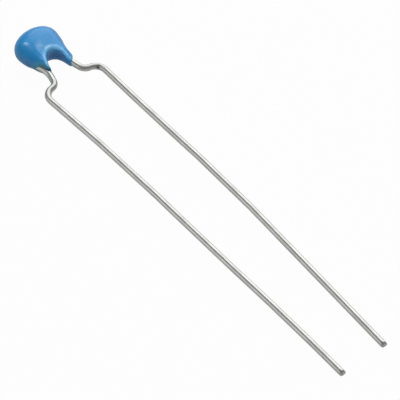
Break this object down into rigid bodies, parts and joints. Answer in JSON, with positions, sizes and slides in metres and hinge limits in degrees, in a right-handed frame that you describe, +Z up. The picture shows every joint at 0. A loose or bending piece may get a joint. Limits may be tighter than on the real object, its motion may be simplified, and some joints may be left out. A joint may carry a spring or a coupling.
{
  "type": "radial-leaded multilayer ceramic capacitor",
  "caption": "Dipped ceramic capacitor: a layered ceramic chip inside a blue epoxy drop, with two long tinned wire leads that have an outward kink below the body.",
  "frame": {"origin": "on the surface that the part lies on, under the middle of its bounding box", "axes": "+Y is the body's axis from the lead tips to the crown of the coat, +X runs from the left lead to the right lead, +Z is up from the surface that the part lies on"},
  "size_m": [0.0058, 0.0396, 0.0026],
  "materials": {
    "epoxy": "glossy dipped epoxy, medium blue",
    "tinned_wire": "bright tin plating over drawn wire, lightly streaked along its length",
    "solder": "smooth solder, satin grey",
    "termination": "fired and plated end caps, matt silver",
    "ceramic": "fine sintered ceramic, matt tan",
    "electrode": "fired nickel film, satin grey"
  },
  "bodies": {
    "root": {"epoxy_coating": "epoxy", "ceramic_body": "ceramic", "end_termination_left": "termination", "end_termination_right": "termination", "solder_joint_left": "solder", "solder_joint_right": "solder", "lead_wire_left": "tinned_wire", "lead_wire_right": "tinned_wire", "inner_electrode_01": "electrode", "inner_electrode_02": "electrode", "inner_electrode_03": "electrode", "inner_electrode_04": "electrode", "inner_electrode_05": "electrode", "inner_electrode_06": "electrode", "inner_electrode_07": "electrode", "inner_electrode_08": "electrode", "inner_electrode_09": "electrode", "inner_electrode_10": "electrode", "inner_electrode_11": "electrode", "inner_electrode_12": "electrode", "inner_electrode_13": "electrode", "inner_electrode_14": "electrode"}
  },
  "joints": []
}
